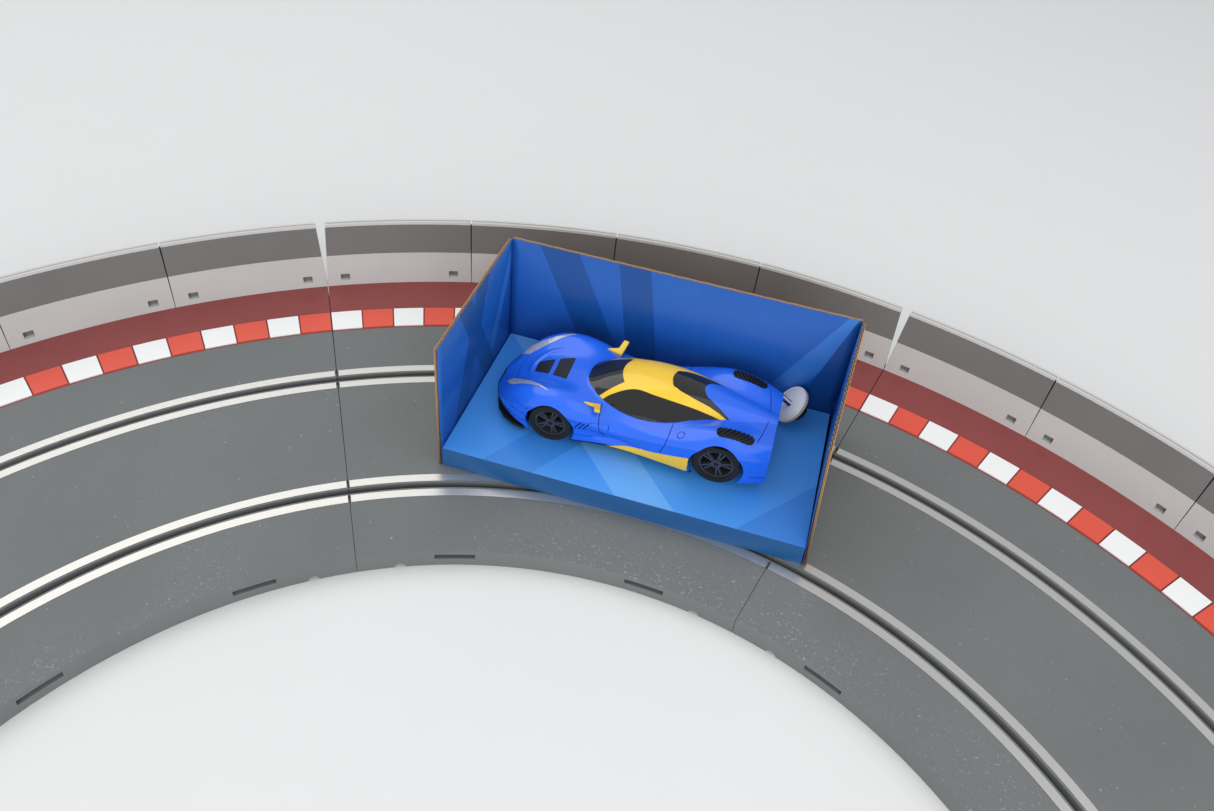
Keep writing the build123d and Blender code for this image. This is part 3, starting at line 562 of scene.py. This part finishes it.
def add_paper(piece, thickness):
    """Gives a sheet its thickness in millimetres, half to each side."""
    shell = piece.modifiers.new("paper", "SOLIDIFY")
    shell.thickness = thickness * MM
    shell.offset = 0


def add_skin(name, skin, material, depth=1.0, lift=0.0, **labels):
    """Piece of the car's surface, with only the points that it uses."""
    used = sorted({i for face in skin.faces for i in face})
    index = {old: new for new, old in enumerate(used)}
    faces = [[index[i] for i in face] for face in skin.faces]
    piece = add_piece(name, skin.points[used], faces, material, "car", **labels)
    thicken(piece, depth, lift)


def slab(outline, low, high):
    """Points and faces of a flat plate; low and high give its two heights from x and y."""
    count = len(outline)
    points = [(x, y, low(x, y)) for x, y in outline] + [(x, y, high(x, y)) for x, y in outline]
    sides = [[i, (i + 1) % count, (i + 1) % count + count, i + count] for i in range(count)]
    return points, sides + [list(range(count))[::-1], list(range(count, 2 * count))]


def soften(piece, width, segments=2):
    """Rounds the edges of a piece by a width in millimetres."""
    round_off = piece.modifiers.new("round", "BEVEL")
    round_off.width = width * MM
    round_off.segments = segments
    round_off.harden_normals = True


def add_splitter(material):
    """Lip that sticks out under the nose."""
    edge = [(-0.4, 5.0), (0.8, 11.0), (3.4, 17.0), (7.5, 21.8), (13.0, 25.0), (19.2, 26.4), (19.2, 22.0)]
    outline = edge + [(x, -y) for x, y in edge[::-1]]
    points, faces = slab(outline, lambda x, y: 2.4, lambda x, y: 3.8)
    labels = {"slot": "trim_black", "replaces": ["front_splitter"], "smooth": False}
    piece = add_piece("splitter_lip", points, faces, material, "car", **labels)
    soften(piece, 0.35)


def mirror_face(height):
    """A mirror's upper or lower face, which rises outwards, from its height beside the door."""
    return lambda x, y: height + 0.38 * (abs(y) - 19)


def add_mirrors(material):
    """Blade-shaped mirrors that reach forward and outward from the doors."""
    blade = [(45.6, 20.4), (53.6, 18.8), (55.4, 26.6), (52.6, 26.9), (51.2, 22.2)]
    labels = {"slot": "body_yellow", "replaces": ["door_mirrors"], "smooth": False}
    for name, side in (("left", 1), ("right", -1)):
        outline = [(x, side * y) for x, y in blade][::side]
        points, faces = slab(outline, mirror_face(22.4), mirror_face(24.0))
        piece = add_piece(f"mirror_{name}", points, faces, material, "car", **labels)
        soften(piece, 0.5)


def arch_points(axle, side, steps):
    """Pairs of points, inner and outer, around one wheel arch."""
    place, height, radius = axle
    points = []
    for step in range(steps + 1):
        angle = pi * (1.06 * step / steps - 0.03)
        x = place + (radius - ARCH_GAP) * cos(angle)
        z = height + (radius - ARCH_GAP) * sin(angle)
        outer = HALF_WIDTH(x) - 1.4
        points += [(x, side * ARCH_INNER_Y, z), (x, side * outer, min(z, SHOULDER(x) + 1.5))]
    return points


def add_arch_liners(material):
    """Black inner faces of the wheel arches."""
    steps = 24
    labels = {"slot": "trim_black", "replaces": ["car_body"]}
    for name, axle in (("front", FRONT_AXLE), ("rear", REAR_AXLE)):
        for number, side in enumerate((1, -1), start=1):
            points = arch_points(axle, side, steps)
            faces = grid_faces(steps + 1, 2)
            piece = add_piece(f"arch_{name}_{number}", points, faces, material, "car", **labels)
            thicken(piece, 0.3)


def add_tail_panel(material):
    """Recessed black panel between the tail's edges."""
    columns = 41
    ys = np.linspace(-1, 1, columns) * (HALF_WIDTH(CAR_L) - 1.2)
    top = body_top(np.full_like(ys, CAR_L), ys) - 0.9
    points = [(CAR_L - 0.8, y, z) for y, z in zip(ys, top)] + [(CAR_L - 0.8, y, 9.3) for y in ys]
    labels = {"slot": "trim_black", "replaces": ["car_body"]}
    panel = add_piece("tail_panel", points, grid_faces(2, columns), material, "car", **labels)
    thicken(panel, 0.8)


def add_tail_lamps():
    """Two round red lamps on each side of the tail."""
    red = finish_plain("tail_red", srgb(165, 18, 20), 0.15, Coat_Weight=0.6)
    rings = ((0.0, 2.0), (0.7, 1.9), (1.0, 1.4), (1.1, 0.01))
    angles = [turn * pi / 12 for turn in range(25)]
    labels = {"slot": "lamp_red", "replaces": ["tail_lights"]}
    for number, y in enumerate(TAIL_LAMP_Y, start=1):
        points = [
            (CAR_L - 0.9 + depth, y + radius * cos(angle), TAIL_LAMP_Z + radius * sin(angle))
            for depth, radius in rings
            for angle in angles
        ]
        faces = grid_faces(len(rings), len(angles))
        lamp = add_piece(f"tail_lamp_{number}", points, faces, red, "car", **labels)
        lamp.modifiers.new("edges", "EDGE_SPLIT").split_angle = radians(50)


def gloss_paint(name, colour, coat):
    return finish_plain(name, colour, 0.26, relief=0.000003, spread=0.03, Coat_Weight=coat)


def add_cabin(cabin, paint, yellow):
    """Roof, glass and the painted tongue behind it."""
    glass = finish_plain("car_glass", srgb(26, 25, 24), 0.06, relief=0.000001, Coat_Weight=0.5)
    screen, cabin = cabin.cut(windscreen)
    back, cabin = cabin.cut(rear_window)
    tongue, cabin = cabin.cut(rear_tongue)
    sides, roof = cabin.cut(side_window)
    add_skin("roof", roof, yellow, 1.0, 0.12, slot="body_yellow", replaces=["car_roof_panel"])
    for name, part in (("windscreen", screen), ("side_windows", sides), ("rear_window", back)):
        add_skin(name, part, glass, 0.8, -0.18, slot="dark_glazing", replaces=["car_glazing"])
    add_skin("engine_cover", tongue, paint, 1.0, slot="body_blue", replaces=["car_body"])


def add_vents(skin, black, gap):
    """Sunken grilles in the bonnet and the rear fenders; gives back the rest of the skin."""
    hole, skin = skin.cut(bonnet_vent)
    add_skin("bonnet_grille", hole, black, 0.5, -0.6, slot="trim_black", replaces=["bonnet_vents"])
    hole, skin = skin.cut(rear_vent)
    slats, floor = hole.cut(louvres)
    labels = {"slot": "trim_black", "replaces": ["rear_deck_vents"]}
    add_skin("rear_slats", slats, black, 0.5, -0.4, **labels)
    add_skin("rear_vent_floor", floor, gap, 0.4, -1.2, **labels)
    return skin


def add_headlights(skin):
    """Silver bowls under clear covers; gives back the rest of the skin."""
    silver = finish_plain(
        "lamp_silver", srgb(190, 196, 206), 0.25, relief=0.0002, grain=500.0, Metallic=0.4
    )
    lens = finish_plain(
        "lamp_lens", srgb(240, 244, 248), 0.04, relief=0.000001, Transmission_Weight=1.0
    )
    lamp, skin = skin.cut(headlight)
    labels = {"slot": "clear_lens", "replaces": ["headlight_lenses"]}
    add_skin("headlight_bowls", lamp, silver, 0.3, -1.1, **labels)
    add_skin("headlight_covers", lamp, lens, 0.3, 0.0, **labels)
    return skin


def add_lower_edges(skin, black, yellow):
    """Yellow flashes and black sills; gives back the rest of the skin."""
    flash, skin = skin.cut(skirt)
    add_skin("side_flashes", flash, yellow, 1.0, 0.35, slot="body_yellow", replaces=["side_skirts"])
    edge, skin = skin.cut(sill)
    add_skin("sills", edge, black, 1.0, 0.1, slot="trim_black", replaces=["side_skirts"])
    return skin


def add_seams(skin, gap):
    """Every seam and slit as a sunken line; gives back the rest of the skin."""
    lines = SEAMS + tuple(slit(place) for place in SLIT_PLACES)
    labels = {"slot": "trim_black", "replaces": ["car_body"]}
    for number, line in enumerate(lines, start=1):
        groove, skin = skin.strip(*line)
        add_skin(f"seam_{number}", groove, gap, 0.3, -0.3, **labels)
    return skin


def add_car_body():
    """Cuts one surface into the painted shell, the glass and the inserts."""
    paint = gloss_paint("car_blue", srgb(34, 104, 238), 0.4)
    yellow = gloss_paint("car_yellow", srgb(246, 202, 52), 0.3)
    black = finish_plain("car_black", srgb(22, 22, 24), 0.4)
    gap = finish_plain("car_gap", srgb(8, 10, 16), 0.7)
    _, skin = body_skin().cut(arch)
    cabin, skin = skin.cut(greenhouse)
    add_cabin(cabin, paint, yellow)
    skin = add_vents(skin, black, gap)
    skin = add_headlights(skin)
    lip, skin = skin.cut(splitter)
    add_skin("front_intake", lip, black, 1.2, 0.3, slot="trim_black", replaces=["front_splitter"])
    add_splitter(black)
    add_mirrors(yellow)
    add_arch_liners(black)
    add_tail_panel(black)
    add_tail_lamps()
    skin = add_lower_edges(skin, black, yellow)
    skin = add_seams(skin, gap)
    add_skin("shell", skin, paint, 1.1, slot="body_blue", replaces=["car_body"])


# Tray, in tray millimetres from its inner front left corner
TRAY_W = 172.8
TRAY_D = 92.0
TRAY_WALL_H = 70.4
BOARD_T = 1.8
LINER_T = 0.35
FLUTE_PITCH = 3.3
FLUTE_DEPTH = 0.42
FLUTE_T = 0.28
TOP_WAVE = 0.12
RIGHT_WALL_LEAN = 5.5
TRAY_TURN = -0.7
TRAY_CORNER = (-12.5, -49.0, -11.05)
TRAY = CAR @ Matrix.Rotation(radians(TRAY_TURN), 4, "Z") @ Matrix.Translation(TRAY_CORNER)


def local_place(shader, matrix):
    """Coordinates in a sub-part's own millimetres, as three sockets."""
    place = []
    for row in list(matrix.inverted())[:3]:
        inputs = {0: shader.place, 1: tuple(row[:3])}
        along = shader.node("VectorMath", inputs, operation="DOT_PRODUCT").outputs["Value"]
        place.append(shader.maths("ADD", along, row[3]))
    return place


def slanted(shader, across, up, low, high, slope):
    """1 between two slanted lines, low and high at the foot, leaning by slope."""
    shifted = shader.maths("SUBTRACT", across, shader.maths("MULTIPLY", up, slope))
    above = shader.maths("GREATER_THAN", shifted, low)
    return shader.maths("MULTIPLY", above, shader.maths("LESS_THAN", shifted, high))


def printed_board(name, base, bands, across=0, up=2, painted_apron_shade=None):
    """Blue print with darker and lighter slanted facets: (low, high, slope, shade) each; the apron colour, if
    given, is painted shade on the upright front face.
    """
    shader = Shader(name)
    place = local_place(shader, TRAY)
    colour = base
    for low, high, slope, shade in bands:
        inside = slanted(shader, place[across], place[up], low, high, slope)
        colour = shader.mix(inside, colour, shade)
    # Painted shade: the upright front face gets a darker blue, standing in for the shade it has under lamps from
    # above.
    if painted_apron_shade:
        colour = shader.mix(shader.step(place[1], 0.25, 0.1), colour, painted_apron_shade)
    drift = shader.noise(18.0, 4.0)
    worn = shader.maths("MULTIPLY", shader.step(shader.noise(240.0, 5.0, 0.7), 0.66, 0.8), 0.25)
    colour = shader.mix(shader.maths("MULTIPLY", drift, 0.16), colour, srgb(16, 60, 140))
    gloss = shader.blend(drift, 0.3, 0.42)
    shader.set(Base_Color=shader.mix(worn, colour, srgb(140, 185, 230)), Roughness=gloss)
    shader.bump(shader.noise(60.0, 3.0), 0.0001, 0.5)
    return shader.material


def kraft(name, colour):
    """Brown paper with short fibres."""
    shader = Shader(name)
    fibres = shader.noise(1.0, 4.0, vector=shader.scaled((900.0, 900.0, 180.0)))
    dark = tuple(channel * 0.72 for channel in colour[:3]) + (1,)
    shader.set(Base_Color=shader.mix(fibres, colour, dark), Roughness=0.85)
    shader.bump(fibres, 0.00006)
    return shader.material


def wall_frames():
    """Each wall as name, length and a function from (along, out, up) to tray millimetres."""

    def leaning(along, out, up):
        lean = RIGHT_WALL_LEAN * up / TRAY_WALL_H * (1 - along / TRAY_D)
        return (TRAY_W + out - lean, along, up)

    return (
        ("back", TRAY_W, lambda along, out, up: (along, TRAY_D + out, up)),
        ("left", TRAY_D, lambda along, out, up: (-out, along, up)),
        ("right", TRAY_D, leaning),
    )


def add_liner(name, length, place, out, material):
    """Flat paper face of a board, with a slightly uneven top edge."""
    count = int(length / 4) + 1
    points = []
    for level in (0, TRAY_WALL_H / 2, TRAY_WALL_H):
        for step in range(count + 1):
            wave = TOP_WAVE * sin(step * 2.3) - TOP_WAVE if level == TRAY_WALL_H else 0.0
            points.append(place(length * step / count, out, level + wave))
    faces = grid_faces(3, count + 1)
    piece = add_piece(name, points, faces, material, "tray", TRAY, "tray_board", ["tray_walls"])
    add_paper(piece, LINER_T)


def add_core(name, length, place, material):
    """Fluted paper between the faces of a board; the flutes stand upright."""
    count = int(length / FLUTE_PITCH * 10)
    points = []
    for level in (0, TRAY_WALL_H - 0.3):
        for step in range(count + 1):
            along = length * step / count
            wave = FLUTE_DEPTH * sin(2 * pi * along / FLUTE_PITCH)
            points.append(place(along, BOARD_T / 2 + wave, level))
    faces = grid_faces(2, count + 1)
    piece = add_piece(name, points, faces, material, "tray", TRAY, "tray_board", ["tray_walls"])
    add_paper(piece, FLUTE_T)


def add_tray():
    """Printed faces, kraft backs and fluted cores of the three walls, and the deck's print with painted shade on
    its front apron.
    """
    dark, mid, light = srgb(22, 78, 148), srgb(34, 96, 182), srgb(52, 124, 208)
    back_bands = (
        (46, 66, -0.45, dark),
        (66, 82, -0.16, dark),
        (82, 104, -0.12, srgb(34, 98, 184)),
        (128, 141, 0.55, light),
        (150, 166, 0.3, dark),
    )
    side_bands = ((10, 26, 0.5, dark), (44, 52, 0.7, light), (60, 74, -0.5, dark))
    faces = {
        "back": printed_board("print_back", mid, back_bands),
        "left": printed_board("print_left", srgb(32, 98, 186), side_bands, across=1),
        "right": printed_board("print_right", mid, side_bands[:2], across=1),
    }
    outer = kraft("kraft_outer", srgb(186, 150, 112))
    inner = kraft("kraft_core", srgb(168, 134, 98))
    for name, length, place in wall_frames():
        add_liner(f"{name}_print", length, place, LINER_T / 2, faces[name])
        add_liner(f"{name}_kraft", length, place, BOARD_T - LINER_T / 2, outer)
        add_core(f"{name}_flutes", length, place, inner)
    deck_bands = (
        (84, 112, -0.9, srgb(104, 176, 244)),
        (20, 44, 0.6, srgb(60, 140, 226)),
        (140, 175, 0.8, srgb(60, 138, 224)),
    )
    # The darker apron colour is painted shade for the deck's upright front face, not a different print.
    deck = printed_board("print_deck", srgb(72, 156, 240), deck_bands, up=1, painted_apron_shade=srgb(40, 96, 152))
    mesh = frame["nodes"]["tray_deck"].data
    mesh.materials.clear()
    mesh.materials.append(deck)


# Transit screw, in its own millimetres along the shank from the disc's front face
SCREW_BORE_R = 1.6
THREAD_START = -0.6
THREAD_PITCH = 0.5
THREAD_TURNS = 26
THREAD_ROOT_R = 1.22
THREAD_CREST_R = 1.48


def screw_axis():
    """Matrix from the transit screw's own millimetres, X along its shank, to the frame."""

    def middle(node):
        mesh = frame["nodes"][node].data
        areas = np.array([face.area for face in mesh.polygons])
        centres = np.array([face.center for face in mesh.polygons])
        return Vector((areas[:, None] * centres).sum(0) / areas.sum())

    knob, disc = middle("transit_knob"), middle("transit_washers")
    turn = (disc - knob).to_track_quat("X", "Z").to_matrix().to_4x4()
    washers = frame["nodes"]["transit_washers"].data.vertices
    heights = [(turn.inverted() @ (vertex.co - disc)).x for vertex in washers]
    front = disc + turn @ Vector((max(heights), 0, 0))
    return Matrix.Translation(front) @ turn @ Matrix.Scale(MM, 4)


def add_lathe(name, profile, material, place, turns=72, **labels):
    """Round piece about X from (distance along, radius) points."""
    points = [
        (along, radius * cos(2 * pi * turn / turns), radius * sin(2 * pi * turn / turns))
        for along, radius in profile
        for turn in range(turns)
    ]
    faces = []
    for ring in range(len(profile) - 1):
        near, far = ring * turns, (ring + 1) * turns
        for turn in range(turns):
            after = (turn + 1) % turns
            faces.append([near + turn, near + after, far + after, far + turn])
    piece = add_piece(name, points, faces, material, place=place, **labels)
    piece.modifiers.new("edges", "EDGE_SPLIT").split_angle = radians(35)


def washer(front, back, radius):
    """Closed section of a flat washer around the shank."""
    return (
        (front, SCREW_BORE_R), (front, radius), (back, radius), (back, SCREW_BORE_R), (front, SCREW_BORE_R)
    )


def add_shank(place):
    """Threaded shank in front of the disc, with a plain stretch through it."""
    steel = finish_plain("screw_steel", srgb(190, 192, 194), 0.25, Metallic=1.0)
    thread = [(-3.0, 1.2)]
    for step in range(THREAD_TURNS):
        along = THREAD_START + THREAD_PITCH * step
        thread += [(along, THREAD_ROOT_R), (along + THREAD_PITCH / 2, THREAD_CREST_R)]
    thread += [(12.5, 1.0), (12.5, 0.01)]
    labels = {"body": "transit_screw", "slot": "steel", "replaces": ["transit_bolt"]}
    add_lathe("shank", thread, steel, place, 48, **labels)


def add_transit_screw():
    """White disc, black and tan washers and a threaded shank; the CAD knob stays."""
    place = screw_axis()
    white = finish_plain("disc_white", srgb(236, 237, 238), 0.42, spread=0.02)
    tan = kraft("washer_card", srgb(214, 190, 160))
    black = finish_plain("washer_rubber", srgb(24, 24, 25), 0.6)
    labels = {"body": "transit_screw", "replaces": ["transit_washers"]}
    disc = (
        (-0.9, SCREW_BORE_R), (-0.9, 9.8), (-0.75, 10.0), (-0.2, 10.0), (-0.02, 9.85), (0.0, 9.5),
        (-0.12, 9.3), (-0.12, 8.9), (-0.02, 8.7), (0.0, 2.4), (-0.15, SCREW_BORE_R), (-0.9, SCREW_BORE_R),
    )
    card = (
        (-1.4, SCREW_BORE_R), (-1.4, 9.75), (-1.5, 9.9), (-2.2, 9.9), (-2.3, 9.75), (-2.3, SCREW_BORE_R),
        (-1.4, SCREW_BORE_R),
    )
    add_lathe("disc_face", disc, white, place, slot="washer_white", **labels)
    add_lathe("disc_seal", washer(-0.9, -1.4, 9.2), black, place, slot="trim_black", **labels)
    add_lathe("disc_card", card, tan, place, slot="washer_white", **labels)
    add_lathe("disc_spacer", washer(-2.3, -3.1, 5.0), black, place, slot="trim_black", **labels)
    add_shank(place)


# Barrier details: the clips are in millimetres and degrees, the joint lips in metres
CLIP_ANGLE = 4.2
CLIP_R = 414.4
CLIP_OUTLINE = ((0.4, -2.9), (0.4, 2.9), (1.3, 2.9), (1.3, -2.9))
CLIP_LOW = 12.2
CLIP_HIGH = 16.2
LIP_LOW = 0.0098
LIP_BELOW_TOP = 0.0024
LIP_BEHIND = 0.0027
LIP_LEAN = 0.0047
LIP_HALF_W = 0.0018
LIP_T = 0.4


def add_barrier_clips():
    """Two small clips behind the windows of each barrier panel."""
    grey = finish_plain("clip_grey", srgb(120, 120, 118), 0.5)
    for number in range(2 * PANELS):
        offset = (CLIP_ANGLE, -CLIP_ANGLE)[number % 2]
        azimuth = BEND_START - PANEL_ANGLE * (number // 2 + 0.5) + offset
        points, faces = slab(CLIP_OUTLINE, lambda x, y: CLIP_LOW, lambda x, y: CLIP_HIGH)
        turn = Matrix.Rotation(radians(azimuth), 4, "Z") @ Matrix.Scale(MM, 4)
        place = Matrix.Translation(BEND) @ turn @ Matrix.Translation((CLIP_R, 0, 0))
        name = f"clip_{number + 1}"
        add_piece(name, points, faces, grey, "track", place, "barrier_grey", smooth=False)


def lip_points(azimuth, top):
    """Corners of one joint lip, which leans outwards with the panels."""
    points = []
    for height, lean in ((LIP_LOW, 0.0), (top - LIP_BELOW_TOP, LIP_LEAN)):
        for across in (-LIP_HALF_W, LIP_HALF_W):
            radius = BARRIER_R + LIP_BEHIND + lean
            x = radius * cos(azimuth) - across * sin(azimuth)
            y = radius * sin(azimuth) + across * cos(azimuth)
            points.append((BEND.x + x, BEND.y + y, height))
    return points


def add_barrier_joints():
    """Grey lips behind the joints between neighbouring panels of one border."""
    grey = finish_plain("joint_grey", srgb(86, 86, 84), 0.55)
    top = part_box("barrier_1")[1].z
    joints = PANELS // SECTIONS - 1
    for section in range(SECTIONS):
        for joint in range(1, joints + 1):
            azimuth = radians(BEND_START - SECTION_ANGLE * section - PANEL_ANGLE * joint)
            points = lip_points(azimuth, top)
            name = f"panel_joint_{section * joints + joint}"
            faces = [[0, 1, 3, 2]]
            piece = add_piece(name, points, faces, grey, "track", Matrix(), "barrier_grey", smooth=False)
            add_paper(piece, LIP_T)


def add_camera():
    """Camera at the photograph's viewing angle."""
    heading, tilt, roll = radians(CAMERA_HEADING), radians(CAMERA_TILT), radians(CAMERA_ROLL)
    forward = Vector((cos(tilt) * cos(heading), cos(tilt) * sin(heading), -sin(tilt)))
    level = Vector((sin(heading), -cos(heading), 0))
    up = level.cross(forward)
    right = level * cos(roll) + up * sin(roll)
    top = up * cos(roll) - level * sin(roll)
    camera = bpy.data.objects.new("camera", bpy.data.cameras.new("camera"))
    camera.data.lens = CAMERA_LENS
    camera.data.sensor_width = 36
    camera.data.clip_start = 0.01
    camera.matrix_world = Matrix((right, top, -forward)).transposed().to_4x4()
    camera.location = CAMERA_PLACE
    bpy.context.scene.collection.objects.link(camera)
    bpy.context.scene.camera = camera


def add_light(name, place, target, size, power):
    """Round area lamp that faces a point."""
    data = bpy.data.lights.new(name, "AREA")
    data.shape = "DISK"
    data.size = size
    data.energy = power
    lamp = bpy.data.objects.new(name, data)
    lamp.location = place
    lamp.rotation_mode = "QUATERNION"
    lamp.rotation_quaternion = (Vector(target) - Vector(place)).to_track_quat("-Z", "Y")
    bpy.context.scene.collection.objects.link(lamp)
    return lamp


def add_stage():
    """Pale floor, soft surroundings and three large lamps; the front one makes no reflections."""
    bpy.ops.mesh.primitive_plane_add(size=8)
    floor = bpy.context.object
    floor.name = "stage_floor"
    floor.location.z = -0.0002
    pale = finish_plain("stage_floor", srgb(229, 229, 227), 0.7, relief=0.0, spread=0.01)
    floor.data.materials.append(pale)
    world = bpy.data.worlds.new("surroundings")
    world.use_nodes = True
    world.node_tree.nodes["Background"].inputs["Color"].default_value = (0.93, 0.95, 1.0, 1)
    world.node_tree.nodes["Background"].inputs["Strength"].default_value = 0.56
    bpy.context.scene.world = world
    add_light("key", (-0.7, 0.5, 1.5), (0, 0, 0), 1.8, 9)
    add_light("fill", (1.0, -0.3, 1.4), (0, 0, 0), 1.8, 5)
    add_light("front", (0.1, -1.5, 0.75), (0, 0, 0.03), 1.4, 15).visible_glossy = False
    bpy.context.scene.view_settings.view_transform = "Standard"


paint_cad_nodes()
add_car_body()
add_tray()
add_transit_screw()
add_barrier_clips()
add_barrier_joints()
add_camera()
add_stage()
